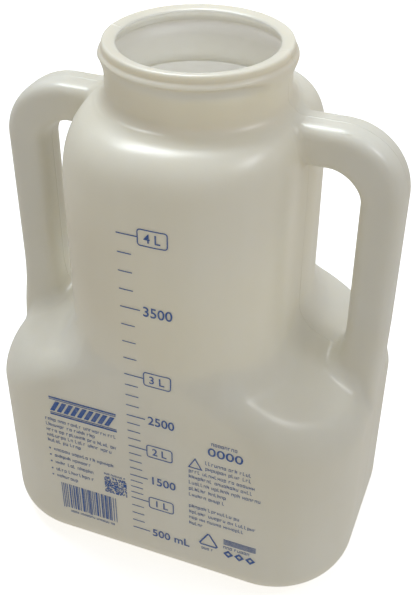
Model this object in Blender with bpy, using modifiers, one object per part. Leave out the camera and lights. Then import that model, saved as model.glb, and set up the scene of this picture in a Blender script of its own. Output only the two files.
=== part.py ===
"""Four litre urine bottle: one blow-moulded hollow body with two integral handles and a wide
open neck, and the printed filling scale on its front.

The frame has +Z up, the front (the printed face) at -Y, and its origin at the middle of the
underside. All sizes are in metres.
"""
import math

import bmesh
import bpy
import numpy as np
from mathutils import Vector

MM = 0.001

# Tank: the wide lower box of the body
TANK_HALF_WIDTH = 98.5 * MM
TANK_HALF_DEPTH = 69.3 * MM
TANK_CORNER = 44.0 * MM
BOTTOM_EDGE = 15.0 * MM
WALL = 1.7 * MM

# Push-up under the tank, which leaves a flat standing ring
RING_WIDTH = 9.0 * MM
PUSH_UP = 2.5 * MM
PUSH_UP_SLOPE = 5.0 * MM

# Column: the narrower upper part, flush with the tank at front and back
COLUMN_HALF_WIDTH = 54.0 * MM
COLUMN_CORNER = 47.0 * MM
COLUMN_TOP = 210.0 * MM

# Shoulder planes of the tank: z = SHOULDER_TOP - SLOPE_X |x| - SLOPE_Y |y|
SHOULDER_TOP = 162.2 * MM
SHOULDER_SLOPE_X = 0.51
SHOULDER_SLOPE_Y = 0.17
SHOULDER_FOLD = 18.0 * MM
SHOULDER_FILLET = 10.0 * MM
SHOULDER_START = 96.0 * MM
SHOULDER_END = 152.0 * MM

# Dome between column and neck
NECK_RADIUS = 42.2 * MM
DOME_TOP = 248.5 * MM
DOME_FULLNESS = 2.7

# Neck finish for a wide cap: a ring with a flat land on top, a groove, and a plain bead
HEIGHT = 275.0 * MM
NECK_FOOT = 238.0 * MM
NECK_INNER_RADIUS = 39.5 * MM
LAND_INNER_RADIUS = 40.0 * MM
LAND_OUTER_RADIUS = 41.7 * MM
RING_RADIUS = 42.45 * MM
GROOVE_RADIUS = 42.1 * MM
GROOVE_HEIGHT = 271.4 * MM
BEAD_RADIUS = 44.5 * MM
BEAD_SHOULDER = 269.7 * MM
BEAD_CREST_HIGH = 268.6 * MM
BEAD_CREST_LOW = 266.3 * MM
BEAD_FOOT = 261.2 * MM

# Inside of the neck: the lip turns inward, and the wall follows the ring and the bead
LIP_RADIUS = 36.2 * MM
LIP_HEIGHT = 273.8 * MM
RING_HOLLOW_RADIUS = 39.8 * MM
RING_HOLLOW_HEIGHT = 270.8 * MM
RIDGE_RADIUS = 38.7 * MM
RIDGE_HEIGHT = 268.7 * MM
BEAD_HOLLOW_RADIUS = 41.7 * MM

# Handles: hollow tubes from the tank's shoulders to the column's dome, flared at the foot
HANDLE_OUTER_FACE = 99.8 * MM
HANDLE_HALF_WIDTH = 10.8 * MM
HANDLE_HALF_DEPTH = 12.6 * MM
HANDLE_FOOT = ((96.0 * MM, 1.7), (112.0 * MM, 1.42), (122.0 * MM, 1.17), (132.0 * MM, 1.04))
HANDLE_LEG_START = 142.0 * MM
HANDLE_TOP = 236.8 * MM
HANDLE_BEND = 24.0 * MM
HANDLE_BEND_SWELL = 1.07
HANDLE_END = 30.0 * MM
BORE_OVERRUN = 6.0 * MM

# Printed scale on the front, and the heights of its main marks
INK_GAP = 0.3 * MM
INK_THICKNESS = 0.12 * MM
MARK_LEFT = -10.25 * MM
MARK_HEIGHT = 0.55 * MM
MAJOR_LENGTH = 10.0 * MM
MINOR_LENGTH = 6.75 * MM
FRAME_LEFT = -0.8 * MM
FRAME_RIGHT = 13.5 * MM
FRAME_HEIGHT = 8.5 * MM
FRAME_CORNER = 2.2 * MM
MAJOR_MARKS = (
    ("500ml", 26.5 * MM, False),
    ("1l", 49.5 * MM, True),
    ("1500ml", 66.4 * MM, False),
    ("2l", 87.1 * MM, True),
    ("2500ml", 108.0 * MM, False),
    ("3l", 134.25 * MM, True),
    ("3500ml", 174.0 * MM, False),
    ("4l", 212.9 * MM, True),
)
MINOR_STEPS = 4

# Mesh resolution
BODY_SIDES = 48
NECK_SIDES = 48
TUBE_SIDES = 16


def clear_scene():
    for old in list(bpy.data.objects):
        bpy.data.objects.remove(old, do_unlink=True)


def new_collection(name):
    collection = bpy.data.collections.new(name)
    bpy.context.scene.collection.children.link(collection)
    return collection


def plain_material(name, colour, roughness):
    material = bpy.data.materials.new(name)
    material.use_nodes = True
    shader = material.node_tree.nodes["Principled BSDF"]
    shader.inputs["Base Color"].default_value = (*colour, 1.0)
    shader.inputs["Roughness"].default_value = roughness
    shader.inputs["Metallic"].default_value = 0.0
    return material


def add_object(name, data, collection):
    made = bpy.data.objects.new(name, data)
    collection.objects.link(made)
    return made


def rounded_box_radius(angle, half_width, half_depth, corner):
    """Distance from the axis to a rounded rectangle, in the direction of angle."""
    c = np.abs(np.cos(angle))
    s = np.abs(np.sin(angle))
    straight = np.minimum(half_width / np.maximum(c, 1e-9), half_depth / np.maximum(s, 1e-9))
    centre_x = half_width - corner
    centre_y = half_depth - corner
    along = centre_x * c + centre_y * s
    across = centre_x * s - centre_y * c
    rounded = along + np.sqrt(np.maximum(corner ** 2 - across ** 2, 0.0))
    in_corner = (straight * c > centre_x) & (straight * s > centre_y)
    return np.where(in_corner, rounded, straight)


def smooth_minimum(a, b, blend):
    share = np.maximum(blend - np.abs(a - b), 0.0) / blend
    return np.minimum(a, b) - share * share * blend * 0.25


def smooth_maximum(a, b, blend):
    return -smooth_minimum(-a, -b, blend)


def tank_inset(z, edge):
    """How far the bottom edge radius pulls the tank's wall in at height z."""
    drop = np.clip(edge - z, 0.0, edge)
    return edge - np.sqrt(edge ** 2 - drop ** 2)


def body_radius(angle, z, inset=0.0, floor=0.0):
    """Distance from the axis to the body's wall; inset moves the wall inward."""
    pulled = inset + tank_inset(z - floor, BOTTOM_EDGE - inset)
    tank = rounded_box_radius(angle, TANK_HALF_WIDTH - pulled, TANK_HALF_DEPTH - pulled,
                              TANK_CORNER - pulled)
    column = rounded_box_radius(angle, COLUMN_HALF_WIDTH - inset, TANK_HALF_DEPTH - inset,
                                COLUMN_CORNER - inset)
    slope = SHOULDER_SLOPE_X * np.abs(np.cos(angle)) + SHOULDER_SLOPE_Y * np.abs(np.sin(angle))
    shoulder = (SHOULDER_TOP - inset - z) / slope
    outer = smooth_minimum(tank, np.maximum(shoulder, 0.0), SHOULDER_FOLD)
    ledge = np.clip(tank - column, 0.01 * MM, SHOULDER_FILLET)
    wall = smooth_maximum(outer, column, ledge)
    wall = np.where(z < SHOULDER_START, tank, wall)
    rise = np.clip((z - COLUMN_TOP) / (DOME_TOP - inset - COLUMN_TOP), 0.0, 1.0)
    dome = (1.0 - rise ** DOME_FULLNESS) ** (1.0 / DOME_FULLNESS)
    neck = NECK_RADIUS - inset
    return np.where(z > COLUMN_TOP, neck + (column - neck) * dome, wall)


def loft(name, rings, collection):
    """A closed skin over rings of equally many points, capped at both ends."""
    mesh = bmesh.new()
    rows = [[mesh.verts.new(point) for point in ring] for ring in rings]
    count = len(rings[0])
    for low, high in zip(rows, rows[1:]):
        for i in range(count):
            j = (i + 1) % count
            mesh.faces.new((low[i], low[j], high[j], high[i]))
    mesh.faces.new(list(reversed(rows[0])))
    mesh.faces.new(rows[-1])
    data = bpy.data.meshes.new(name)
    mesh.to_mesh(data)
    mesh.free()
    return add_object(name, data, collection)


def ring_angles(count):
    """Angles that put a point on every mirror plane and more of them round the corners."""
    even = np.arange(count) * 2.0 * math.pi / count
    return even - 0.10 * np.sin(4.0 * even) / 4.0


def body_ring(z, inset=0.0, floor=0.0):
    angles = ring_angles(BODY_SIDES)
    radii = body_radius(angles, z, inset, floor)
    return [(r * math.cos(a), r * math.sin(a), z) for r, a in zip(radii, angles)]


def box_ring(half_width, half_depth, corner, z):
    angles = ring_angles(BODY_SIDES)
    radii = rounded_box_radius(angles, half_width, half_depth, corner)
    return [(r * math.cos(a), r * math.sin(a), z) for r, a in zip(radii, angles)]


def body_heights(floor, edge, top):
    """Heights of the loft's rows, closer together where the wall curves."""
    curve = [floor + edge * (1.0 - math.cos(math.radians(t))) for t in (25, 45, 65, 90)]
    shoulder = list(np.linspace(SHOULDER_START, SHOULDER_END, 15))
    dome = [COLUMN_TOP + (top - COLUMN_TOP) * math.sin(math.radians(t))
            for t in (0, 18, 34, 48, 60, 70, 79, 86)]
    return curve + shoulder + dome


def body_blank(collection):
    """The body's outer form, as a solid, with the push-up underneath."""
    rings = []
    for past_ring, z in ((PUSH_UP_SLOPE, PUSH_UP), (0.0, 0.0)):
        inset = BOTTOM_EDGE + RING_WIDTH + past_ring
        rings.append(box_ring(TANK_HALF_WIDTH - inset, TANK_HALF_DEPTH - inset,
                              TANK_CORNER - inset, z))
    rings.append(body_ring(0.0))
    for z in body_heights(0.0, BOTTOM_EDGE, DOME_TOP):
        rings.append(body_ring(z))
    rings.append(body_ring(DOME_TOP))
    return loft("body_blank", rings, collection)


def body_cavity(collection):
    """The room inside the body: its outer form moved in by the wall's thickness."""
    floor = PUSH_UP + WALL
    rings = [body_ring(floor, WALL, floor)]
    for z in body_heights(floor, BOTTOM_EDGE - WALL, DOME_TOP - WALL):
        rings.append(body_ring(z, WALL, floor))
    rings.append(body_ring(DOME_TOP - WALL, WALL, floor))
    return loft("body_cavity", rings, collection)


def turned(name, profile, collection):
    """A profile of (radius, height) points from the axis round to the axis, spun about Z."""
    mesh = bmesh.new()
    points = [mesh.verts.new((r, 0.0, z)) for r, z in profile]
    for low, high in zip(points, points[1:]):
        mesh.edges.new((low, high))
    data = bpy.data.meshes.new(name)
    mesh.to_mesh(data)
    mesh.free()
    made = add_object(name, data, collection)
    screw = made.modifiers.new("spin", "SCREW")
    screw.steps = NECK_SIDES
    screw.render_steps = NECK_SIDES
    screw.use_merge_vertices = True
    screw.merge_threshold = 0.00001
    screw.use_smooth_shade = True
    return made


def neck_blank(collection):
    """The neck's outer form, as a solid that reaches down into the dome."""
    profile = [(0.0, HEIGHT), (LAND_OUTER_RADIUS, HEIGHT)]
    profile += [(RING_RADIUS - 0.15 * MM, HEIGHT - 0.35 * MM), (RING_RADIUS, HEIGHT - 1.0 * MM)]
    profile += [(RING_RADIUS, GROOVE_HEIGHT + 1.0 * MM), (GROOVE_RADIUS, GROOVE_HEIGHT)]
    profile += [(BEAD_RADIUS - 0.6 * MM, BEAD_SHOULDER), (BEAD_RADIUS, BEAD_CREST_HIGH)]
    profile += [(BEAD_RADIUS, BEAD_CREST_LOW), (BEAD_RADIUS - 0.6 * MM, BEAD_CREST_LOW - 2.0 * MM)]
    profile += [(NECK_RADIUS + 0.5 * MM, BEAD_FOOT + 1.0 * MM), (NECK_RADIUS, BEAD_FOOT)]
    profile += [(NECK_RADIUS, DOME_TOP - 1.0 * MM), (NECK_RADIUS, NECK_FOOT), (0.0, NECK_FOOT)]
    return turned("neck_blank", profile, collection)


def neck_bore(collection):
    """The room inside the neck, open at the top and reaching down into the dome."""
    over = HEIGHT + BORE_OVERRUN
    under = NECK_FOOT - BORE_OVERRUN
    profile = [(0.0, over), (LAND_INNER_RADIUS, over), (LAND_INNER_RADIUS, HEIGHT)]
    profile += [(LIP_RADIUS + 0.5 * MM, LIP_HEIGHT + 0.15 * MM), (LIP_RADIUS, LIP_HEIGHT - 0.4 * MM)]
    profile += [(LIP_RADIUS + 0.6 * MM, LIP_HEIGHT - 1.3 * MM)]
    profile += [(RING_HOLLOW_RADIUS - 0.4 * MM, RING_HOLLOW_HEIGHT + 0.8 * MM)]
    profile += [(RING_HOLLOW_RADIUS, RING_HOLLOW_HEIGHT), (RIDGE_RADIUS, RIDGE_HEIGHT)]
    profile += [(BEAD_HOLLOW_RADIUS - 0.5 * MM, BEAD_CREST_HIGH - 1.5 * MM)]
    profile += [(BEAD_HOLLOW_RADIUS, BEAD_CREST_LOW)]
    profile += [(BEAD_HOLLOW_RADIUS - 0.9 * MM, BEAD_CREST_LOW - 2.3 * MM)]
    profile += [(NECK_INNER_RADIUS, BEAD_FOOT), (NECK_INNER_RADIUS, under), (0.0, under)]
    return turned("neck_bore", profile, collection)


def handle_path(side, lengthen):
    """Centre line of a handle and its swell, from inside the tank over to inside the column."""
    path = []
    for height, swell in HANDLE_FOOT:
        centre = HANDLE_OUTER_FACE - swell * HANDLE_HALF_WIDTH
        path.append((Vector((side * centre, 0.0, height)), swell))
    path[0][0].z -= lengthen
    leg = HANDLE_OUTER_FACE - HANDLE_HALF_WIDTH
    spring = HANDLE_TOP - HANDLE_BEND
    path.append((Vector((side * leg, 0.0, HANDLE_LEG_START)), 1.0))
    path.append((Vector((side * leg, 0.0, spring - HANDLE_BEND / 2.0)), 1.0))
    steps = 8
    for i in range(steps + 1):
        turn = math.radians(90.0) * i / steps
        x = leg - HANDLE_BEND * (1.0 - math.cos(turn))
        z = spring + HANDLE_BEND * math.sin(turn)
        swell = 1.0 + (HANDLE_BEND_SWELL - 1.0) * math.sin(2.0 * turn)
        path.append((Vector((side * x, 0.0, z)), swell))
    path.append((Vector((side * (HANDLE_END - lengthen), 0.0, HANDLE_TOP)), 1.0))
    return path


def tube(name, path, half_width, half_depth, collection):
    """An oval tube along a path of (point, swell) in the XZ plane, as a closed mesh."""
    rail = bpy.data.curves.new(name + "_rail", "CURVE")
    rail.dimensions = "3D"
    rail.bevel_depth = half_width
    rail.bevel_resolution = TUBE_SIDES // 2 - 2
    rail.use_fill_caps = True
    line = rail.splines.new("POLY")
    line.points.add(len(path) - 1)
    for point, (place, swell) in zip(line.points, path):
        point.co = (*place, 1.0)
        point.radius = swell
    carrier = add_object(name + "_rail", rail, collection)
    carrier.scale = (1.0, half_depth / half_width, 1.0)

    bpy.context.view_layer.update()
    graph = bpy.context.evaluated_depsgraph_get()
    data = bpy.data.meshes.new_from_object(carrier.evaluated_get(graph))
    data.transform(carrier.matrix_world)
    weld = bmesh.new()
    weld.from_mesh(data)
    bmesh.ops.remove_doubles(weld, verts=weld.verts, dist=0.01 * MM)
    bmesh.ops.recalc_face_normals(weld, faces=weld.faces)
    weld.to_mesh(data)
    weld.free()
    bpy.data.objects.remove(carrier, do_unlink=True)
    return add_object(name, data, collection)


def combine(target, tool, operation):
    cut = target.modifiers.new(operation.lower() + "_" + tool.name, "BOOLEAN")
    cut.operation = operation
    cut.solver = "EXACT"
    cut.object = tool


def bottle_moulding(parts, tools, material):
    """The whole moulding: outer forms joined, then every inner space taken out."""
    body = body_blank(parts)
    body.name = "bottle_moulding"
    body.data.name = "bottle_moulding"
    joined = [neck_blank(tools)]
    removed = [body_cavity(tools), neck_bore(tools)]
    for side, label in ((-1, "left"), (1, "right")):
        joined.append(tube("handle_" + label, handle_path(side, 0.0),
                           HANDLE_HALF_WIDTH, HANDLE_HALF_DEPTH, tools))
        removed.append(tube("handle_bore_" + label, handle_path(side, BORE_OVERRUN),
                            HANDLE_HALF_WIDTH - WALL, HANDLE_HALF_DEPTH - WALL, tools))
    for tool in joined:
        combine(body, tool, "UNION")
    for tool in removed:
        combine(body, tool, "DIFFERENCE")
    body.data.materials.append(material)
    return body


def rounded_outline(left, right, height, corner, notch):
    """Outline from just above the middle of the left side, clockwise, to just below it."""
    points = [(left, notch)]
    half = height / 2.0
    centres = ((left + corner, half - corner, 180.0), (right - corner, half - corner, 90.0),
               (right - corner, corner - half, 0.0), (left + corner, corner - half, -90.0))
    for x, z, start in centres:
        for turn in (start, start - 30.0, start - 60.0, start - 90.0):
            angle = math.radians(turn)
            points.append((x + corner * math.cos(angle), z + corner * math.sin(angle)))
    points.append((left, -notch))
    return points


def mark_faces(mesh, length, framed):
    """Flat outline of one mark in the XZ plane: a line, and a rounded frame at its end."""
    half = MARK_HEIGHT / 2.0
    right = FRAME_LEFT if framed else MARK_LEFT + length
    steps = 4
    upper = []
    lower = []
    for i in range(steps + 1):
        x = MARK_LEFT + (right - MARK_LEFT) * i / steps
        upper.append(mesh.verts.new((x, 0.0, half)))
        lower.append(mesh.verts.new((x, 0.0, -half)))
    for i in range(steps):
        mesh.faces.new((lower[i], lower[i + 1], upper[i + 1], upper[i]))
    if not framed:
        return
    outer = rounded_outline(FRAME_LEFT, FRAME_RIGHT, FRAME_HEIGHT, FRAME_CORNER, half)
    inner = rounded_outline(FRAME_LEFT + MARK_HEIGHT, FRAME_RIGHT - MARK_HEIGHT,
                            FRAME_HEIGHT - 2.0 * MARK_HEIGHT, FRAME_CORNER - MARK_HEIGHT, half)
    outside = [upper[-1]] + [mesh.verts.new((x, 0.0, z)) for x, z in outer[1:-1]] + [lower[-1]]
    inside = [mesh.verts.new((x, 0.0, z)) for x, z in inner]
    for i in range(len(outside)):
        j = (i + 1) % len(outside)
        mesh.faces.new((outside[i], inside[i], inside[j], outside[j]))


def printed_mark(name, height, length, framed, bottle, collection, material):
    """One mark of the scale, laid onto the front wall as a thin film of ink."""
    mesh = bmesh.new()
    mark_faces(mesh, length, framed)
    data = bpy.data.meshes.new(name)
    mesh.to_mesh(data)
    mesh.free()
    mark = add_object(name, data, collection)
    mark.location = (0.0, -TANK_HALF_DEPTH - 20.0 * MM, height)
    wrap = mark.modifiers.new("lay_on_wall", "SHRINKWRAP")
    wrap.target = bottle
    wrap.wrap_method = "PROJECT"
    wrap.use_project_y = True
    wrap.use_positive_direction = True
    wrap.use_negative_direction = False
    wrap.offset = INK_GAP
    film = mark.modifiers.new("ink_film", "SOLIDIFY")
    film.thickness = INK_THICKNESS
    film.offset = 1.0
    mark.data.materials.append(material)
    return mark


def printed_scale(bottle, collection, material):
    """The main marks, and the finer marks that divide the room between them."""
    for label, height, framed in MAJOR_MARKS:
        printed_mark("mark_" + label, height, MAJOR_LENGTH, framed, bottle, collection, material)
    for (label, low, _), (_, high, _) in zip(MAJOR_MARKS, MAJOR_MARKS[1:]):
        for step in range(1, MINOR_STEPS):
            height = low + (high - low) * step / MINOR_STEPS
            name = "fine_mark_above_%s_%d" % (label, step)
            printed_mark(name, height, MINOR_LENGTH, False, bottle, collection, material)


def main():
    clear_scene()
    parts = new_collection("urine_bottle")
    tools = new_collection("forming_tools")
    polyethylene = plain_material("natural_polyethylene", (0.62, 0.60, 0.52), 0.42)
    ink = plain_material("blue_ink", (0.05, 0.13, 0.38), 0.5)
    bottle = bottle_moulding(parts, tools, polyethylene)
    printed_scale(bottle, parts, ink)
    for tool in tools.objects:
        tool.hide_render = True
        tool.display_type = "WIRE"


main()
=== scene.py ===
"""Looks of the four litre urine bottle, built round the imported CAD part.

The bottle is one hollow blow-moulded skin, made here as a fine mesh with an outer and an inner
face. The filling scale and the other print lie on its front as thin films of ink.
Geometry is worked out in millimetres and turned into metres when a mesh is made.
"""

import math
import random

import bmesh
import bpy
import numpy as np
from mathutils import Matrix, Vector


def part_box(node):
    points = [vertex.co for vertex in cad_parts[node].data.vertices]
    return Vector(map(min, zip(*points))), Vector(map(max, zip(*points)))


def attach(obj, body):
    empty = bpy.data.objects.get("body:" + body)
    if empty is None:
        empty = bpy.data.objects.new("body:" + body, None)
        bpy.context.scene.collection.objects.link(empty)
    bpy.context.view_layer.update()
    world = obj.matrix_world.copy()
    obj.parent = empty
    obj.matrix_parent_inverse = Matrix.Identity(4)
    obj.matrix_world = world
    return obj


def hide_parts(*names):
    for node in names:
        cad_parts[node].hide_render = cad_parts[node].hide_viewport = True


MM = 0.001

# Tank and column, as in the CAD part
TANK_HALF_WIDTH = 98.5
TANK_HALF_DEPTH = 69.3
TANK_CORNER = 44.0
BOTTOM_EDGE = 15.0
WALL = 1.7
PUSH_UP = 2.5
RING_WIDTH = 9.0
COLUMN_HALF_WIDTH = 54.0
COLUMN_CORNER = 47.0
COLUMN_TOP = 210.0
DOME_TOP = 248.5
DOME_FULLNESS = 2.7

# Shoulder planes, the fold in front of them and the fillet behind them
SHOULDER_TOP = 162.2
SHOULDER_SLOPE_X = 0.51
SHOULDER_SLOPE_Y = 0.17
FOLD_FRONT = 12.0
FOLD_CORNER = 13.0
FOLD_END = 11.0
FOLD_STRAIGHT = 56.0
FOLD_FORWARD = 22.0
FOLD_CHANGE = 26.0
SHOULDER_FILLET = 10.0
COLUMN_FOOT = 60.0

# Handles; above the foot both stand HANDLE_SHIFT further to the right
HANDLE_OUTER_FACE = 99.2
HANDLE_SHIFT = 0.7
HANDLE_SHIFT_START = 108.0
HANDLE_SHIFT_RISE = 40.0
HANDLE_HALF_WIDTH = 10.1
HANDLE_HALF_DEPTH = 11.9
HANDLE_TOP = 236.4
HANDLE_BEND = 24.0
HANDLE_START = 96.0
HANDLE_ROOT = 30.0
HANDLE_SQUARENESS = 3.4
FOOT_SQUARENESS = 4.4
BEND_SWELL = 0.07
FLARE_TOP = 142.0
FLARE_DEPTH = 46.0
FLARE_SWELL = 0.70
FLARE_POWER = 1.65
FLARE_LIMIT = 1.3
FOOT_FILLET = 7.0
ROOT_FILLET = 2.5
ROOT_FILLET_START = 150.0
ROOT_FILLET_RISE = 40.0

# Neck finish
NECK_RADIUS = 42.2
NECK_INNER_RADIUS = 39.5
NECK_FILLET = 6.0
NECK_INNER_EDGE = 2.2
NECK_FOOT = DOME_TOP - 15.0
NECK_CUT = 257.0
NECK_SEGMENTS = 180
SEAM_START = 0.72
SEAM_CHANGE = 0.2

# Mesh
STEP = 1.9
GRID_HALF_WIDTH = 104.0
GRID_HALF_DEPTH = 74.0
SLOPE_REACH = 0.02

# Print
FRONT_GAP = 0.06
FILM = 0.08
FLAT_TOP = 115.0
FLAT_HALF_WIDTH = 54.0
LONGEST_EDGE = 1.6
SUBDIVISIONS = 5
PRINT_SEED = 4
MARK_LENGTH = 9.75
MARK_HALF_HEIGHT = 0.25
FINE_MARK_TRIM = 0.05
NUMERAL_HEIGHT = 5.4
NUMERAL_WEIGHT = 0.006
NUMERAL_LEFT = 1.0
NUMERAL_LEFT_OF_ONE = 2.0
NUMERAL_RIGHT = 14.75
UNIT_RIGHT = 22.0
LITRE_MARKS = {"mark_1l": "1 L", "mark_2l": "2 L", "mark_3l": "3 L", "mark_4l": "4 L"}
LITRE_HEIGHT = 4.5
LITRE_INDENT = 3.1
LITRE_INDENT_OF_ONE = 4.2
LITRE_MARGIN = 3.3
FRAME_CORNER = 1.6
FRAME_LINE = 0.5

# Small print: right end and middle height of each line, and the left end where lines differ
SMALL_HEIGHT = 1.6
DESCRIPTION_LEFT = -57.0
DESCRIPTION_LINES = ((-16.5, 89.6), (-28.0, 85.8), (-17.0, 82.0), (-19.0, 78.1), (-37.0, 74.3))
FEATURE_LEFT = -54.0
FEATURE_LINES = ((-18.6, 68.3), (-31.9, 63.6), (-30.1, 58.7), (-31.9, 53.4), (-39.7, 48.7))
NOTE_LINES = ((30.8, 55.0, 89.6), (30.8, 57.0, 85.8), (22.1, 57.0, 81.4), (22.1, 56.0, 77.4),
              (22.1, 59.5, 73.2), (22.1, 43.0, 68.9), (22.1, 42.0, 64.5), (22.1, 50.0, 56.2),
              (22.1, 58.0, 51.8), (22.1, 52.0, 47.6), (22.1, 32.0, 43.3))

# Badge: a band of slanted bars between double lines
BADGE_LEFT = -53.5
BADGE_RIGHT = -16.4
BADGE_RULES = ((105.0, 105.9), (93.6, 94.5), (104.1, 104.45), (95.05, 95.4))
BADGE_BARS = 9
BADGE_PITCH = 3.8
BADGE_BAR_WIDTH = 2.5
BADGE_BAR_LEAN = 3.5
BADGE_BAR_FOOT = 96.4
BADGE_BAR_TOP = 103.1

# Codes
CODE_LEFT = -25.5
CODE_FOOT = 47.6
CODE_CELL = 0.6
CODE_COLUMNS = 21
CODE_ROWS = 20
CODE_FILL = 0.52
BARS_LEFT = -52.0
BARS_RIGHT = -19.5
BARS_FOOT = 25.6
LONG_BARS_FOOT = 24.9
LONG_BARS = (0, 1, 14, 15)
BARS_TOP = 44.1

# Signs at the lower right
SIGN_LEFT = 41.0
SIGN_RIGHT = 58.4
STRIPES = 5
STRIPE_FOOT = 34.6
STRIPE_PITCH = 0.85
STRIPE_HEIGHT = 0.35
DIAMONDS = 3
DIAMOND_PITCH = 6.0
DIAMOND_HALF_WIDTH = 2.7
DIAMOND_FOOT = 24.8
DIAMOND_HALF_HEIGHT = 2.8
DIAMOND_LINE = 1.1

# Plastic: warm, cool and streak colours, then the painted shade on the left of the column and neck,
# and how far light spreads in it
OUTSIDE = ((0.845, 0.805, 0.70, 1.0), (0.87, 0.845, 0.76, 1.0), (0.80, 0.765, 0.655, 1.0),
           (0.58, 0.55, 0.465, 1.0))
# Inner face: the same plastic painted lighter, as painted light on the inner wall seen through the
# mouth; its fourth colour is the warm one, so it paints no shade
INSIDE = ((0.96, 0.935, 0.82, 1.0), (0.975, 0.955, 0.86, 1.0), (0.94, 0.91, 0.78, 1.0),
          (0.96, 0.935, 0.82, 1.0))
OUTSIDE_SCATTER = 3.5
INSIDE_SCATTER = 16.0
SCATTER_COLOUR = (1.0, 0.95, 0.85)
SCUFF = (0.52, 0.51, 0.47, 1.0)
PARTING_WIDTH = 0.4
PARTING_HEIGHT = 0.25
SHOULDER_LINE = 248.3
SHOULDER_LINE_WIDTH = 0.3
SHOULDER_LINE_HEIGHT = 0.08

# Ink, and how much of it the thinnest spots keep
INK_DARK = (0.016, 0.085, 0.36, 1.0)
INK_LIGHT = (0.03, 0.125, 0.44, 1.0)
UNDER_INK = (0.6, 0.6, 0.56, 1.0)
INK_COVER = 0.85
THIN_INK_COVER = 0.75

# Stage, light and camera, in metres, watts and degrees
FLOOR_SIZE = 8.0
FLOOR_DROP = 0.0006
FLOOR_GLOW = 0.55
WORLD_COLOUR = (0.89, 0.855, 0.785, 1.0)
WORLD_SHADE = (0.67, 0.625, 0.535, 1.0)
WORLD_TOP = (0.97, 0.97, 0.95, 1.0)
WORLD_LOW = (1.12, 1.08, 0.99, 1.0)
WORLD_STRENGTH = 0.54
AIM = Vector((0.0, 0.0, 0.15))
OVERHEAD = ((-0.45, 0.38, 1.55), (0.65, 0.76, 0.0), (0.92, 0.38), 12.3, (0.88, 0.95, 1.0))
RIGHT = ((1.0, 0.1, 1.25), (0.0, 1.0, 0.0), (0.4, 0.3), 2.0, (0.93, 0.96, 1.0))
INNER_LAMP_PLACE = (0.0, 0.0, 0.18)
INNER_LAMP_POWER = 0.015
INNER_LAMP_RADIUS = 0.03
INNER_LAMP_COLOUR = (1.0, 0.93, 0.82)
CAMERA_PLACE = (0.14802, -0.37375, 0.43021)
CAMERA_PAN = 20.922
CAMERA_TILT = 54.335
CAMERA_ROLL = 0.3325
CAMERA_LENS = 57.87
CAMERA_SHIFT = -0.0209


# ---------------------------------------------------------------- form of the moulding

def round_union(a, b, radius):
    gap_a = np.maximum(radius - a, 0.0)
    gap_b = np.maximum(radius - b, 0.0)
    return np.maximum(radius, np.minimum(a, b)) - np.hypot(gap_a, gap_b)


def round_intersection(a, b, radius):
    over_a = np.maximum(radius + a, 0.0)
    over_b = np.maximum(radius + b, 0.0)
    return np.minimum(-radius, np.maximum(a, b)) + np.hypot(over_a, over_b)


def smooth(t):
    t = np.clip(t, 0.0, 1.0)
    return t * t * (3.0 - 2.0 * t)


def rounded_box(x, y, half_width, half_depth, corner):
    dx = np.abs(x) - (half_width - corner)
    dy = np.abs(y) - (half_depth - corner)
    outside = np.hypot(np.maximum(dx, 0.0), np.maximum(dy, 0.0))
    return outside + np.minimum(np.maximum(dx, dy), 0.0) - corner


def rounded_box_radius(c, s, half_width, half_depth, corner):
    """Distance from the axis to a rounded rectangle along the unit direction (c, s), both >= 0."""
    straight = np.minimum(half_width / np.maximum(c, 1e-9), half_depth / np.maximum(s, 1e-9))
    centre_x = half_width - corner
    centre_y = half_depth - corner
    along = centre_x * c + centre_y * s
    across = centre_x * s - centre_y * c
    rounded = along + np.sqrt(np.maximum(corner ** 2 - across ** 2, 0.0))
    in_corner = (straight * c > centre_x) & (straight * s > centre_y)
    return np.where(in_corner, rounded, straight)


def metric(field, p):
    """The field divided by its own slope, so that it measures distance near its surface."""
    here = field(p)
    slope = np.zeros_like(here)
    for axis in range(3):
        moved = p.copy()
        moved[:, axis] += SLOPE_REACH
        slope += ((field(moved) - here) / SLOPE_REACH) ** 2
    return here / np.maximum(np.sqrt(slope), 0.25)


def column_field(p):
    """The column and the dome on it, which narrows to the neck."""
    x, y, z = np.abs(p[:, 0]), np.abs(p[:, 1]), p[:, 2]
    reach = np.maximum(np.hypot(x, y), 1e-6)
    wall = rounded_box_radius(x / reach, y / reach, COLUMN_HALF_WIDTH, TANK_HALF_DEPTH,
                              COLUMN_CORNER)
    rise = np.maximum((z - COLUMN_TOP) / (DOME_TOP - COLUMN_TOP), 0.0)
    out = np.maximum((reach - NECK_RADIUS) / (wall - NECK_RADIUS), 1e-4)
    full = (rise ** DOME_FULLNESS + out ** DOME_FULLNESS) ** (1.0 / DOME_FULLNESS)
    return (full - 1.0) * (wall - NECK_RADIUS)


def handle_side(p):
    """Distance from the middle plane of the handles."""
    shift = HANDLE_SHIFT * smooth((p[:, 2] - HANDLE_SHIFT_START) / HANDLE_SHIFT_RISE)
    return np.abs(p[:, 0] - shift)


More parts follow.
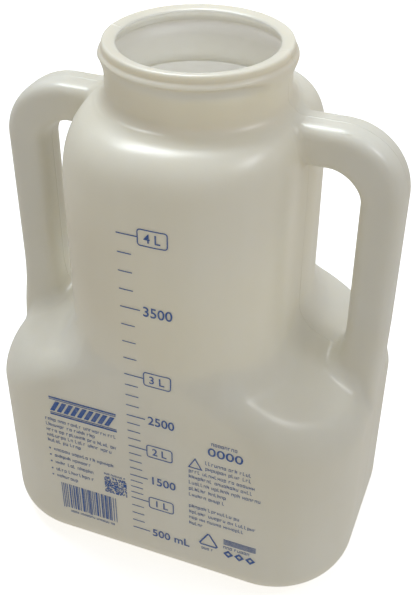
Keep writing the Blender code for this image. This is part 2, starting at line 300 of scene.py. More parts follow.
def handle_field(p):
    """One rounded bar: up the leg, round the bend and along the top."""
    x, y, z = handle_side(p), p[:, 1], p[:, 2]
    low = np.clip((FLARE_TOP - z) / FLARE_DEPTH, 0.0, FLARE_LIMIT)
    swell = 1.0 + FLARE_SWELL * low ** FLARE_POWER
    bend_x = HANDLE_OUTER_FACE - HANDLE_HALF_WIDTH - HANDLE_BEND
    bend_z = HANDLE_TOP - HANDLE_BEND
    on_leg = x - (HANDLE_OUTER_FACE - HANDLE_HALF_WIDTH * swell)
    on_bend = np.hypot(x - bend_x, z - bend_z) - HANDLE_BEND
    on_top = z - HANDLE_TOP
    off = np.where(z < bend_z, on_leg, np.where(x > bend_x, on_bend, on_top))
    turn = np.arctan2(np.maximum(z - bend_z, 0.0), np.maximum(x - bend_x, 1e-6))
    bend_swell = 1.0 + BEND_SWELL * np.sin(2.0 * turn) * (z > bend_z) * (x > bend_x)
    size = swell * bend_swell
    n = HANDLE_SQUARENESS + (FOOT_SQUARENESS - HANDLE_SQUARENESS) * smooth((low - 0.25) / 0.35)
    wide = np.abs(off) / (HANDLE_HALF_WIDTH * size)
    deep = np.abs(y) / (HANDLE_HALF_DEPTH * size)
    section = (np.maximum(wide, 1e-6) ** n + np.maximum(deep, 1e-6) ** n) ** (1.0 / n)
    return (section - 1.0) * HANDLE_HALF_WIDTH


def body_field(p, floor):
    """Tank, column, dome and handles, without the neck."""
    x, y, z = np.abs(p[:, 0]), np.abs(p[:, 1]), p[:, 2]
    side = rounded_box(x, y, TANK_HALF_WIDTH, TANK_HALF_DEPTH, TANK_CORNER)
    box = round_intersection(side, floor - z, BOTTOM_EDGE)
    lean = math.sqrt(1.0 + SHOULDER_SLOPE_X ** 2 + SHOULDER_SLOPE_Y ** 2)
    shoulder = (z - SHOULDER_TOP + SHOULDER_SLOPE_X * x + SHOULDER_SLOPE_Y * y) / lean
    turned = smooth((x - FOLD_STRAIGHT) / FOLD_CHANGE)
    forward = smooth((y - FOLD_FORWARD) / FOLD_CHANGE)
    fold = FOLD_FRONT + turned * (FOLD_END - FOLD_FRONT + forward * (FOLD_CORNER - FOLD_END))
    tank = round_intersection(box, shoulder, fold)

    column = metric(column_field, p)
    column = np.maximum(column, COLUMN_FOOT - z)
    reach = np.maximum(np.hypot(x, y), 1e-6)
    tank_wall = rounded_box_radius(x / reach, y / reach, TANK_HALF_WIDTH, TANK_HALF_DEPTH,
                                   TANK_CORNER)
    column_wall = rounded_box_radius(x / reach, y / reach, COLUMN_HALF_WIDTH, TANK_HALF_DEPTH,
                                     COLUMN_CORNER)
    ledge = np.clip(tank_wall - column_wall, 0.01, SHOULDER_FILLET)
    body = round_union(tank, column, ledge)

    handle = metric(handle_field, p)
    handle = np.maximum(handle, (HANDLE_START - z) * 0.5)
    handle = np.maximum(handle, (HANDLE_ROOT - x) * 0.5)
    root = smooth((z - ROOT_FILLET_START) / ROOT_FILLET_RISE)
    root = FOOT_FILLET + (ROOT_FILLET - FOOT_FILLET) * root
    flush = np.clip((HANDLE_OUTER_FACE - handle_side(p)) * 0.8, 0.02, 100.0)
    return round_union(body, handle, np.minimum(root, flush))


def outer_field(p):
    """The outside of the bottle up to the neck finish."""
    neck = np.hypot(p[:, 0], p[:, 1]) - NECK_RADIUS
    neck = np.maximum(neck, NECK_FOOT - p[:, 2])
    return round_union(body_field(p, 0.0), neck, NECK_FILLET)


def push_up(p):
    """Height of the hollow under the tank, inside its standing ring."""
    inset = BOTTOM_EDGE + RING_WIDTH
    side = rounded_box(p[:, 0], p[:, 1], TANK_HALF_WIDTH - inset, TANK_HALF_DEPTH - inset,
                       TANK_CORNER - inset)
    return PUSH_UP * smooth(-side / 5.0)


def cavity_field(p):
    """The room inside the bottle, handles included."""
    room = body_field(p, PUSH_UP) + WALL
    neck = np.hypot(p[:, 0], p[:, 1]) - NECK_INNER_RADIUS
    neck = np.maximum(neck, NECK_FOOT - p[:, 2])
    return round_union(room, neck, NECK_INNER_EDGE)


# ---------------------------------------------------------------- skin meshes

CORNERS = [(i, j, k) for i in (0, 1) for j in (0, 1) for k in (0, 1)]


def corner_view(values, corner):
    i, j, k = corner
    nx, ny, nz = values.shape
    return values[i:nx - 1 + i, j:ny - 1 + j, k:nz - 1 + k]


def net(values, origin, step):
    """Quads near the zero surface of a grid of values, one point for each cell it crosses."""
    count = sum((corner_view(values, c) < 0.0).astype(np.int8) for c in CORNERS)
    active = (count > 0) & (count < 8)
    index = np.full(active.shape, -1)
    index[active] = np.arange(active.sum())
    total = np.zeros((active.sum(), 3))
    hits = np.zeros(active.sum())
    for axis in range(3):
        for corner in CORNERS:
            if corner[axis]:
                continue
            far = tuple(1 if a == axis else c for a, c in enumerate(corner))
            a = corner_view(values, corner)[active]
            b = corner_view(values, far)[active]
            crossed = (a < 0.0) != (b < 0.0)
            at = np.tile(np.array(corner, float), (len(a), 1))
            at[:, axis] = np.where(crossed, a / np.where(crossed, a - b, 1.0), 0.0)
            total += at * crossed[:, None]
            hits += crossed
    points = (np.argwhere(active) + total / hits[:, None]) * step + origin

    quads = []
    for axis in range(3):
        u, v = [a for a in range(3) if a != axis]
        low = [slice(None)] * 3
        high = [slice(None)] * 3
        low[axis], high[axis] = slice(0, -1), slice(1, None)
        for a in (u, v):
            low[a] = high[a] = slice(1, -1)
        inside = values[tuple(low)] < 0.0
        crossed = inside != (values[tuple(high)] < 0.0)
        at = np.argwhere(crossed)
        at[:, u] += 1
        at[:, v] += 1
        ring = []
        for du, dv in ((-1, -1), (0, -1), (0, 0), (-1, 0)):
            cell = at.copy()
            cell[:, u] += du
            cell[:, v] += dv
            ring.append(index[cell[:, 0], cell[:, 1], cell[:, 2]])
        ring = np.stack(ring, 1)
        outward = inside[crossed] if axis != 1 else ~inside[crossed]
        ring[~outward] = ring[~outward][:, ::-1]
        quads.append(ring)
    quads = np.concatenate(quads)
    return points, quads[(quads >= 0).all(1)]


def settle(field, points, rounds):
    """Moves points along the field's slope onto its surface."""
    for _ in range(rounds):
        here = field(points)
        slope = np.zeros_like(points)
        for axis in range(3):
            moved = points.copy()
            moved[:, axis] += SLOPE_REACH
            slope[:, axis] = (field(moved) - here) / SLOPE_REACH
        size = np.maximum((slope ** 2).sum(1), 0.05)
        points = points - np.clip(here / size, -1.0, 1.0)[:, None] * slope
    return points


def even_out(points, quads, held):
    """Moves every free point towards the middle of its neighbours."""
    a = np.concatenate([quads[:, i] for i in range(4)])
    b = np.concatenate([quads[:, (i + 1) % 4] for i in range(4)])
    total = np.zeros_like(points)
    hits = np.zeros(len(points))
    for one, other in ((a, b), (b, a)):
        np.add.at(total, one, points[other])
        np.add.at(hits, one, 1.0)
    moved = points + 0.6 * (total / hits[:, None] - points)
    return np.where(held[:, None], points, moved)


def skin(field, radius):
    """Points and quads of one face of the wall, and its open ring at the foot of the neck."""
    nx = int(GRID_HALF_WIDTH / STEP) + 1
    ny = int(GRID_HALF_DEPTH / STEP) + 1
    nz = int((NECK_CUT + 4.0) / STEP)
    xs = (np.arange(2 * nx) - nx + 0.5) * STEP
    ys = (np.arange(2 * ny) - ny + 0.5) * STEP
    zs = NECK_CUT + (np.arange(nz + 1) - nz) * STEP
    grid = np.stack(np.meshgrid(xs[nx:], ys[ny:], zs, indexing="ij"), -1)
    quarter = field(grid.reshape(-1, 3)).reshape(grid.shape[:3])
    half = np.concatenate([quarter[::-1], quarter], 0)
    values = np.concatenate([half[:, ::-1], half], 1)
    origin = np.array([xs[0], ys[0], zs[0]])
    points, quads = net(values, origin, STEP)
    rim = points[:, 2] > NECK_CUT - STEP
    points = settle(field, points, 3)
    for _ in range(4):
        points = even_out(points, quads, rim)
        points = settle(field, points, 1)
    points = settle(field, points, 2)
    reach = np.hypot(points[rim, 0], points[rim, 1])
    points[rim, :2] *= (radius / reach)[:, None]
    points[rim, 2] = NECK_CUT
    ring = np.nonzero(rim)[0]
    ring = ring[np.argsort(np.arctan2(points[ring, 1], points[ring, 0]))]
    return points, quads, ring


# Neck finish as radius and height: up the outside, up the outside at the parting line, where the
# bead fades into a taper, and down the inside
NECK_OUTSIDE = (
    (42.2, 258.4), (42.2, 260.8), (42.2, 262.5), (42.2, 264.3), (42.2, 266.0), (42.22, 267.3),
    (42.3, 268.1), (42.5, 268.5), (42.95, 268.8), (43.55, 269.05), (44.05, 269.3), (44.35, 269.6),
    (44.4, 269.95), (44.3, 270.35), (44.0, 270.75), (43.55, 271.1), (43.1, 271.4), (42.8, 271.75),
    (42.7, 272.2), (42.7, 272.8), (42.65, 273.4), (42.55, 274.0), (42.3, 274.6), (41.7, 275.0),
)
NECK_OUTSIDE_AT_SEAM = (
    (42.2, 258.4), (42.2, 260.4), (42.3, 261.4), (42.5, 262.4), (42.9, 263.6), (43.35, 264.9),
    (43.75, 266.0), (44.05, 266.8), (44.25, 267.4), (44.4, 268.0), (44.48, 268.6), (44.45, 269.2),
    (44.35, 269.7), (44.15, 270.2), (43.85, 270.65), (43.45, 271.05), (43.05, 271.4), (42.8, 271.75),
    (42.7, 272.2), (42.7, 272.8), (42.65, 273.4), (42.55, 274.0), (42.3, 274.6), (41.7, 275.0),
)
NECK_INSIDE = (
    (41.2, 275.0), (40.2, 274.85), (39.2, 274.65), (38.0, 274.4), (37.1, 274.15), (36.55, 273.9),
    (36.25, 273.55), (36.25, 273.15), (36.6, 272.75), (37.4, 272.4), (38.4, 272.0), (39.2, 271.6),
    (39.6, 271.1), (39.7, 270.5), (39.5, 269.9), (39.0, 269.3), (38.75, 268.8), (38.85, 268.35),
    (39.6, 267.9), (40.6, 267.5), (41.3, 266.9), (41.6, 266.1), (41.5, 265.2), (41.1, 264.3),
    (40.6, 263.4), (40.1, 262.5), (39.7, 261.6), (39.5, 260.6), (39.5, 258.4),
)


def zipper(lower, upper, points):
    """Triangles between two rings sorted by angle."""
    def angles(ring):
        return np.arctan2(points[ring, 1], points[ring, 0])
    low, high = angles(lower), angles(upper)
    faces = []
    i = j = 0
    n, m = len(lower), len(upper)
    while i < n or j < m:
        next_low = low[i + 1] if i + 1 < n else low[(i + 1) % n] + 2.0 * math.pi
        next_high = high[j + 1] if j + 1 < m else high[(j + 1) % m] + 2.0 * math.pi
        if j >= m or (i < n and next_low <= next_high):
            faces.append((lower[i % n], lower[(i + 1) % n], upper[j % m]))
            i += 1
        else:
            faces.append((lower[i % n], upper[(j + 1) % m], upper[j % m]))
            j += 1
    return faces


def bottle_mesh():
    """Both faces of the wall, joined by the neck finish; inside faces get the second material."""
    outer, outer_quads, outer_ring = skin(outer_field, NECK_RADIUS)
    low = (outer[:, 2] < 0.6)
    outer[low, 2] += push_up(outer[low])
    inner, inner_quads, inner_ring = skin(cavity_field, NECK_INNER_RADIUS)

    angles = -math.pi + (np.arange(NECK_SEGMENTS) + 0.5) * 2.0 * math.pi / NECK_SEGMENTS
    seam = smooth((np.abs(np.cos(angles)) - SEAM_START) / SEAM_CHANGE)
    rings = []
    for here, there in zip(NECK_OUTSIDE + NECK_INSIDE, NECK_OUTSIDE_AT_SEAM + NECK_INSIDE):
        radius = here[0] + seam * (there[0] - here[0])
        height = here[1] + seam * (there[1] - here[1])
        rings.append(np.stack([radius * np.cos(angles), radius * np.sin(angles), height], 1))
    neck = np.concatenate(rings)

    points = np.concatenate([outer, inner, neck])
    faces = [tuple(q) for q in outer_quads.tolist()]
    inside = [0] * len(outer_quads) + [1] * len(inner_quads)
    shift = len(outer)
    faces += [tuple(reversed(q)) for q in (inner_quads + shift).tolist()]
    inner_ring = inner_ring + shift
    first = len(outer) + len(inner)
    for row in range(len(rings) - 1):
        a = first + row * NECK_SEGMENTS
        b = a + NECK_SEGMENTS
        inside += [int(row >= len(NECK_OUTSIDE) + 5)] * NECK_SEGMENTS
        for i in range(NECK_SEGMENTS):
            j = (i + 1) % NECK_SEGMENTS
            faces.append((a + i, a + j, b + j, b + i))
    top = first + np.arange(NECK_SEGMENTS)
    bottom = top + (len(rings) - 1) * NECK_SEGMENTS
    joint = zipper(outer_ring, top, points)
    inner_joint = zipper(inner_ring, bottom, points)
    faces += joint + [tuple(reversed(f)) for f in inner_joint]
    inside += [0] * len(joint) + [1] * len(inner_joint)

    data = bpy.data.meshes.new("bottle")
    data.from_pydata((points * MM).tolist(), [], [tuple(int(i) for i in f) for f in faces])
    data.polygons.foreach_set("material_index", inside)
    data.validate()
    data.update()
    return data


def face_outward(data):
    """Turns the faces outward and shades them smooth."""
    mesh = bmesh.new()
    mesh.from_mesh(data)
    if mesh.calc_volume(signed=True) < 0.0:
        bmesh.ops.reverse_faces(mesh, faces=mesh.faces)
    for face in mesh.faces:
        face.smooth = True
    mesh.to_mesh(data)
    mesh.free()


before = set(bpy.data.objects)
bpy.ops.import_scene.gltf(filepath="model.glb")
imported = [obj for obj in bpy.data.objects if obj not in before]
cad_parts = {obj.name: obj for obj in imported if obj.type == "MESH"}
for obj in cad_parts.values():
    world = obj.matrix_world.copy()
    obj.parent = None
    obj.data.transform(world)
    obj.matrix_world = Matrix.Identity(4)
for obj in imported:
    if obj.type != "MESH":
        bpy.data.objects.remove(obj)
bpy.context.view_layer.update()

bottle_data = bottle_mesh()
face_outward(bottle_data)
bottle = bpy.data.objects.new("bottle", bottle_data)
bpy.context.scene.collection.objects.link(bottle)
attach(bottle, "root")
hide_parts("bottle_moulding")


# ---------------------------------------------------------------- print

def front_wall(x, z):
    """Y of the outer skin on the front of the bottle."""
    p = np.stack([x, np.full(len(x), -TANK_HALF_DEPTH), z], 1)
    for _ in range(8):
        p[:, 1] += outer_field(p)
    return p[:, 1]


def film(name, shapes, ink):
    """A thin closed layer of ink on the front wall, from flat convex shapes in X and Z."""
    mesh = bmesh.new()
    for shape in shapes:
        mesh.faces.new([mesh.verts.new((x, 0.0, z)) for x, z in shape])
    bmesh.ops.remove_doubles(mesh, verts=mesh.verts, dist=0.001)
    bent = any(v.co.z > FLAT_TOP or abs(v.co.x) > FLAT_HALF_WIDTH for v in mesh.verts)
    for _ in range(SUBDIVISIONS if bent else 0):
        bmesh.ops.triangulate(mesh, faces=mesh.faces)
        too_long = [e for e in mesh.edges if e.calc_length() > LONGEST_EDGE]
        bmesh.ops.subdivide_edges(mesh, edges=too_long, cuts=1)
    bmesh.ops.triangulate(mesh, faces=mesh.faces)
    mesh.verts.index_update()
    flat = np.array([v.co for v in mesh.verts])
    faces = [tuple(v.index for v in f.verts) for f in mesh.faces]
    rims = [tuple(v.index for v in e.verts) for e in mesh.edges if len(e.link_faces) == 1]
    turned = {(f[i], f[(i + 1) % len(f)]) for f in faces for i in range(len(f))}
    mesh.free()

    back = flat.copy()
    back[:, 1] = front_wall(flat[:, 0], flat[:, 2]) - FRONT_GAP
    front = back.copy()
    front[:, 1] -= FILM
    count = len(flat)
    solid = list(faces)
    solid += [tuple(i + count for i in reversed(f)) for f in faces]
    for a, b in rims:
        if (a, b) not in turned:
            a, b = b, a
        solid.append((b, a, a + count, b + count))
    data = bpy.data.meshes.new(name)
    data.from_pydata((np.concatenate([front, back]) * MM).tolist(), [], solid)
    data.update()
    data.materials.append(ink)
    made = bpy.data.objects.new(name, data)
    bpy.context.scene.collection.objects.link(made)
    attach(made, "root")
    return made


def bar(x0, x1, z0, z1):
    """An upright rectangle in X and Z."""
    return [(x0, z0), (x1, z0), (x1, z1), (x0, z1)]


def numerals(text, x0, x1, middle, height):
    """The text's filled outlines, fitted between x0 and x1."""
    curve = bpy.data.curves.new("numerals", "FONT")
    curve.body = text
    curve.resolution_u = 4
    curve.offset = NUMERAL_WEIGHT
    made = bpy.data.objects.new("numerals", curve)
    bpy.context.scene.collection.objects.link(made)
    bpy.context.view_layer.update()
    graph = bpy.context.evaluated_depsgraph_get()
    data = bpy.data.meshes.new_from_object(made.evaluated_get(graph))
    flat = np.array([v.co[:2] for v in data.vertices])
    low, high = flat.min(0), flat.max(0)
    flat = (flat - low) / (high - low)
    flat = flat * (x1 - x0, height) + (x0, middle - height / 2.0)
    shapes = [[tuple(flat[i]) for i in f.vertices] for f in data.polygons]
    bpy.data.objects.remove(made)
    bpy.data.curves.remove(curve)
    bpy.data.meshes.remove(data)
    facing = []
    for shape in shapes:
        turn = sum(shape[i - 1][0] * shape[i][1] - shape[i][0] * shape[i - 1][1]
                   for i in range(len(shape)))
        facing.append(shape if turn > 0.0 else shape[::-1])
    return facing


def outline(points, width):
    """A closed line of the given width inside a convex ring of points."""
    centre = np.mean(points, 0)
    n = len(points)
    inner = []
    for i in range(n):
        before = np.subtract(points[i], points[i - 1])
        after = np.subtract(points[(i + 1) % n], points[i])
        before = before / np.hypot(*before)
        after = after / np.hypot(*after)
        inward = after - before
        if np.hypot(*inward) < 1e-6:
            inward = np.array([-after[1], after[0]])
        inward = inward / np.hypot(*inward)
        if np.dot(inward, centre - points[i]) < 0.0:
            inward = -inward
        lean = max(abs(before[0] * inward[1] - before[1] * inward[0]), 0.3)
        inner.append(tuple(np.add(points[i], inward * width / lean)))
    return [[tuple(points[i]), tuple(points[(i + 1) % n]), inner[(i + 1) % n], inner[i]]
            for i in range(n)]


def rounded_ring(x0, x1, z0, z1, radius):
    """Points round a rectangle with rounded corners."""
    points = []
    for cx, cz, start in ((x1 - radius, z0 + radius, -90.0), (x1 - radius, z1 - radius, 0.0),
                          (x0 + radius, z1 - radius, 90.0), (x0 + radius, z0 + radius, 180.0)):
        for step in range(5):
            turn = math.radians(start + 22.5 * step)
            points.append((cx + radius * math.cos(turn), cz + radius * math.sin(turn)))
    return points


def sham_letter(kind, x, z, width, height, stroke):
    """One made-up sign of upright strokes and cross bars."""
    left = bar(x, x + stroke, z, z + height)
    right = bar(x + width - stroke, x + width, z, z + height)
    top = bar(x + stroke, x + width - stroke, z + height - stroke, z + height)
    foot = bar(x + stroke, x + width - stroke, z, z + stroke)
    middle = bar(x + stroke, x + width - stroke, z + 0.5 * (height - stroke),
                 z + 0.5 * (height + stroke))
    rise = bar(x, x + stroke, z + height, z + 1.45 * height)
    drop = bar(x, x + stroke, z - 0.4 * height, z)
    return {
        "ring": [left, right, top, foot],
        "arch": [left, right, top],
        "cup": [left, right, foot],
        "bridge": [left, right, middle],
        "hook": [left, top],
        "tall": [left, rise, foot],
        "loop": [left, right, middle, top, rise],
        "tail": [left, right, top, foot, drop],
    }[kind]


SHAM_KINDS = ("ring", "arch", "cup", "bridge", "hook", "tall", "loop", "tail")


def sham_line(x0, x1, middle, height, chance, kinds=SHAM_KINDS):
    """A line of made-up words that fills x0 to x1."""
    width = 0.72 * height
    gap = 0.27 * height
    stroke = 0.15 * height
    x = x0
    left = chance.randint(3, 8)
    shapes = []
    while x + width <= x1:
        shapes += sham_letter(chance.choice(kinds), x, middle - height / 2.0, width, height, stroke)
        x += width + gap
        left -= 1
        if left == 0:
            x += 0.6 * height
            left = chance.randint(2, 8)
    return shapes


def scale_print():
    """The scale's marks, each in its CAD mark's place, with their numerals."""
    for name in sorted(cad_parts):
        if name == "bottle_moulding":
            continue
        low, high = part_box(name)
        x0, x1, z0, z1 = low.x / MM, high.x / MM, low.z / MM, high.z / MM
        middle = (z0 + z1) / 2.0
        low_edge, high_edge = middle - MARK_HALF_HEIGHT, middle + MARK_HALF_HEIGHT
        if name.startswith("fine"):
            shapes = [bar(x0, x1, z0 + FINE_MARK_TRIM, z1 - FINE_MARK_TRIM)]
        elif name in LITRE_MARKS:
            frame_left = x0 + MARK_LENGTH
            shapes = [bar(x0, frame_left, low_edge, high_edge)]
            shapes += outline(rounded_ring(frame_left, x1, z0, z1, FRAME_CORNER), FRAME_LINE)
            indent = LITRE_INDENT_OF_ONE if name == "mark_1l" else LITRE_INDENT
            shapes += numerals(LITRE_MARKS[name], frame_left + indent, x1 - LITRE_MARGIN, middle,
                               LITRE_HEIGHT)
        else:
            right = UNIT_RIGHT if name == "mark_500ml" else NUMERAL_RIGHT
            text = "500 mL" if name == "mark_500ml" else name[5:-2]
            shapes = [bar(x0, x0 + MARK_LENGTH, low_edge, high_edge)]
            left = NUMERAL_LEFT_OF_ONE if text[0] == "1" else NUMERAL_LEFT
            shapes += numerals(text, left, right, middle, NUMERAL_HEIGHT)
        made = film(name + "_ink", shapes, thin_ink if name.startswith("fine") else ink)
        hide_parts(name)


def badge_print():
    badge = [bar(BADGE_LEFT, BADGE_RIGHT, z0, z1) for z0, z1 in BADGE_RULES]
    for step in range(BADGE_BARS):
        x0 = BADGE_LEFT + BADGE_PITCH * step
        x1 = x0 + BADGE_BAR_WIDTH
        badge.append([(x0, BADGE_BAR_FOOT), (x1, BADGE_BAR_FOOT),
                      (x1 + BADGE_BAR_LEAN, BADGE_BAR_TOP), (x0 + BADGE_BAR_LEAN, BADGE_BAR_TOP)])
    film("badge_print", badge, ink)


def description_print(chance):
    lines = []
    for right, middle in DESCRIPTION_LINES:
        lines += sham_line(DESCRIPTION_LEFT, right, middle, SMALL_HEIGHT, chance)
    film("description_print", lines, thin_ink)


def features_print(chance):
    """Lines that each start with a small square."""
    lines = []
    for right, middle in FEATURE_LINES:
        lines.append(bar(-56.9, -56.0, middle - 0.45, middle + 0.45))
        lines += sham_line(FEATURE_LEFT, right, middle, SMALL_HEIGHT, chance)
    film("features_print", lines, thin_ink)


def square_code_print(chance):
    """Rows of random dark runs, with a short line above them."""
    code = []
    for row in range(CODE_ROWS):
        foot = CODE_FOOT + row * CODE_CELL + 0.01
        top = CODE_FOOT + (row + 1) * CODE_CELL - 0.01
        start = None
        for column in range(CODE_COLUMNS + 1):
            dark = column < CODE_COLUMNS and chance.random() < CODE_FILL
            if dark and start is None:
                start = column
            if not dark and start is not None:
                code.append(bar(CODE_LEFT + start * CODE_CELL, CODE_LEFT + column * CODE_CELL,
                                foot, top))
                start = None
    code += sham_line(CODE_LEFT, -12.9, 61.2, 1.1, chance, ("ring", "arch", "cup"))
    film("square_code_print", code, ink)


def bar_code_print(chance):
    """Random bars, some of them longer, with a short line below them."""
    bars = []
    x = BARS_LEFT
    while x < BARS_RIGHT:
        wide = chance.choice((0.35, 0.35, 0.7, 1.05))
        foot = LONG_BARS_FOOT if len(bars) in LONG_BARS else BARS_FOOT
        bars.append(bar(x, x + wide, foot, BARS_TOP))
        x += wide + chance.choice((0.35, 0.7, 0.7, 1.05))
    bars += sham_line(-48.0, -21.0, 23.0, 1.3, chance, ("ring", "arch", "cup"))
    film("bar_code_print", bars, ink)


def item_print(chance):
    """Four zeros under a short line."""
    item = sham_line(33.9, 48.1, 103.6, 1.7, chance, ("ring", "arch", "cup", "hook"))
    item += numerals("0000", 32.0, 50.0, 98.3, NUMERAL_HEIGHT)
    film("item_print", item, ink)


def triangle_print():
    film("triangle_print", outline([(21.6, 84.0), (29.3, 84.0), (25.45, 91.2)], 0.55), ink)


def notes_print(chance):
    lines = []
    for left, right, middle in NOTE_LINES:
        lines += sham_line(left, right, middle, SMALL_HEIGHT, chance)
    film("notes_print", lines, thin_ink)


def triangle_loop_print():
    loop = outline([(27.4, 30.4), (28.4, 29.2), (37.0, 29.2), (38.0, 30.4), (33.4, 38.6),
                    (32.0, 38.6)], 0.8)
    film("triangle_loop_print", loop, ink)


def foot_print(chance):
    """Short lines, stripes and diamonds at the lower right."""
    kinds = ("ring", "arch", "cup", "hook")
    foot = sham_line(28.9, 36.8, 26.6, 1.5, chance, kinds)
    for stripe in range(STRIPES):
        level = STRIPE_FOOT + STRIPE_PITCH * stripe
        foot.append(bar(SIGN_LEFT, SIGN_RIGHT, level, level + STRIPE_HEIGHT))
    foot += sham_line(SIGN_LEFT, 57.5, 32.2, 1.7, chance, kinds)
    middle = DIAMOND_FOOT + DIAMOND_HALF_HEIGHT
    for step in range(DIAMONDS):
        x = SIGN_LEFT + DIAMOND_PITCH * step + DIAMOND_HALF_WIDTH
        foot += outline([(x - DIAMOND_HALF_WIDTH, middle), (x, DIAMOND_FOOT),
                         (x + DIAMOND_HALF_WIDTH, middle), (x, middle + DIAMOND_HALF_HEIGHT)],
                        DIAMOND_LINE)
    film("foot_print", foot, ink)


# ---------------------------------------------------------------- materials

def new_material(name):
    made = bpy.data.materials.new(name)
    made.use_nodes = True
    tree = made.node_tree
    return made, tree, tree.nodes["Principled BSDF"]


def feed(tree, socket, value):
    """Links a node's output to a socket, or sets the socket to a constant."""
    if isinstance(value, bpy.types.NodeSocket):
        tree.links.new(value, socket)
    else:
        socket.default_value = value


def calc(tree, operation, *values):
    node = tree.nodes.new("ShaderNodeMath")
    node.operation = operation
    for socket, value in zip(node.inputs, values):
        feed(tree, socket, value)
    return node.outputs[0]


def remap(tree, value, low, high, to_low, to_high):
    node = tree.nodes.new("ShaderNodeMapRange")
    for socket, given in zip(node.inputs, (value, low, high, to_low, to_high)):
        feed(tree, socket, given)
    return node.outputs[0]


def mix(tree, factor, a, b):
    node = tree.nodes.new("ShaderNodeMix")
    node.data_type = "RGBA"
    feed(tree, node.inputs[0], factor)
    feed(tree, node.inputs[6], a)
    feed(tree, node.inputs[7], b)
    return node.outputs[2]


def noise(tree, scale, detail=2.0, stretch=(1.0, 1.0, 1.0)):
    """Noise in the piece's own metres; stretch multiplies its frequency along each axis."""
    where = tree.nodes.new("ShaderNodeTexCoord").outputs["Object"]
    mapping = tree.nodes.new("ShaderNodeMapping")
    mapping.inputs["Scale"].default_value = stretch
    tree.links.new(where, mapping.inputs["Vector"])
    node = tree.nodes.new("ShaderNodeTexNoise")
    node.inputs["Scale"].default_value = scale
    node.inputs["Detail"].default_value = detail
    tree.links.new(mapping.outputs[0], node.inputs["Vector"])
    return node.outputs["Fac"]


def place(tree):
    """X, Y and Z of the shaded point, in millimetres."""
    split = tree.nodes.new("ShaderNodeSeparateXYZ")
    tree.links.new(tree.nodes.new("ShaderNodeTexCoord").outputs["Object"], split.inputs[0])
    return [calc(tree, "DIVIDE", split.outputs[i], MM) for i in range(3)]


def ridge(tree, distance, width, height):
    """A rounded ridge, height mm tall, where distance is near zero."""
    away = calc(tree, "DIVIDE", distance, width)
    fall = calc(tree, "MULTIPLY", calc(tree, "MULTIPLY", away, away), -1.0)
    return calc(tree, "MULTIPLY", calc(tree, "POWER", math.e, fall), height)


def bump(tree, height_mm, shader):
    node = tree.nodes.new("ShaderNodeBump")
    node.inputs["Distance"].default_value = MM
    tree.links.new(height_mm, node.inputs["Height"])
    tree.links.new(node.outputs[0], shader.inputs["Normal"])


def painted_shade_on_left(tree, x, z):
    """Mask of the painted shade on the left of the column and neck, weakest on the dome between
    them.
    """
    column = remap(tree, calc(tree, "ABSOLUTE", x), 56.0, 64.0, 1.0, 0.0)
    side = calc(tree, "MULTIPLY", remap(tree, x, -46.0, 5.0, 1.0, 0.0), column)
    side = calc(tree, "MULTIPLY", side, remap(tree, z, 130.0, 175.0, 0.0, 0.5))
    side = calc(tree, "MULTIPLY", side, remap(tree, z, 266.0, 270.0, 1.0, 0.4))
    dome = calc(tree, "MAXIMUM", remap(tree, z, 200.0, 222.0, 1.0, 0.2),
                remap(tree, z, 246.0, 253.0, 0.2, 1.0))
    return calc(tree, "MULTIPLY", side, dome)


def surface_height(tree, y, z, scuff):
    """Grain, ripple, parting line, the line under the neck and wear, in millimetres."""
    grain = calc(tree, "MULTIPLY", noise(tree, 1100.0, 2.0), 0.012)
    ripple = calc(tree, "MULTIPLY", noise(tree, 170.0, 2.0), 0.05)
    parting = ridge(tree, y, PARTING_WIDTH, PARTING_HEIGHT)
    shoulder_line = ridge(tree, calc(tree, "SUBTRACT", z, SHOULDER_LINE), SHOULDER_LINE_WIDTH,
                          SHOULDER_LINE_HEIGHT)
    wear = calc(tree, "MULTIPLY", scuff, -0.06)
    height = grain
    for part in (ripple, parting, shoulder_line, wear):
        height = calc(tree, "ADD", height, part)
    return height


def milky_polyethylene(name, warm, cool, deep, painted_left_shade, scatter):
    """Natural polyethylene; the fourth colour is painted shade on the left of the column and neck;
    scatter is how far light spreads in it, in millimetres.
    """
    made, tree, shader = new_material(name)
    x, y, z = place(tree)
    cloud = remap(tree, noise(tree, 16.0, 3.0), 0.3, 0.7, 0.0, 1.0)
    colour = mix(tree, cloud, warm, cool)
    streak = remap(tree, noise(tree, 45.0, 2.0, (1.0, 1.0, 0.08)), 0.35, 0.7, 0.0, 0.35)
    colour = mix(tree, streak, colour, deep)
    foot = remap(tree, z, 0.0, 5.0, 1.0, 0.0)
    scuff = remap(tree, noise(tree, 260.0, 4.0, (1.0, 1.0, 2.5)), 0.5, 0.72, 0.0, 0.5)
    scuff = calc(tree, "MULTIPLY", scuff, foot)
    colour = mix(tree, scuff, colour, SCUFF)
    # Painted shade: the left of the column and neck is darkened towards the fourth colour
    colour = mix(tree, painted_shade_on_left(tree, x, z), colour, painted_left_shade)
    feed(tree, shader.inputs["Base Color"], colour)
    polish = remap(tree, noise(tree, 38.0, 3.0), 0.3, 0.7, 0.285, 0.33)
    dulled = calc(tree, "ADD", polish, calc(tree, "MULTIPLY", scuff, 0.4))
    feed(tree, shader.inputs["Roughness"], dulled)
    shader.inputs["Subsurface Weight"].default_value = 1.0
    shader.inputs["Subsurface Radius"].default_value = SCATTER_COLOUR
    shader.inputs["Subsurface Scale"].default_value = scatter * MM
    shader.inputs["IOR"].default_value = 1.5
    shader.inputs["Specular IOR Level"].default_value = 1.0
    bump(tree, surface_height(tree, y, z, scuff), shader)
    return made


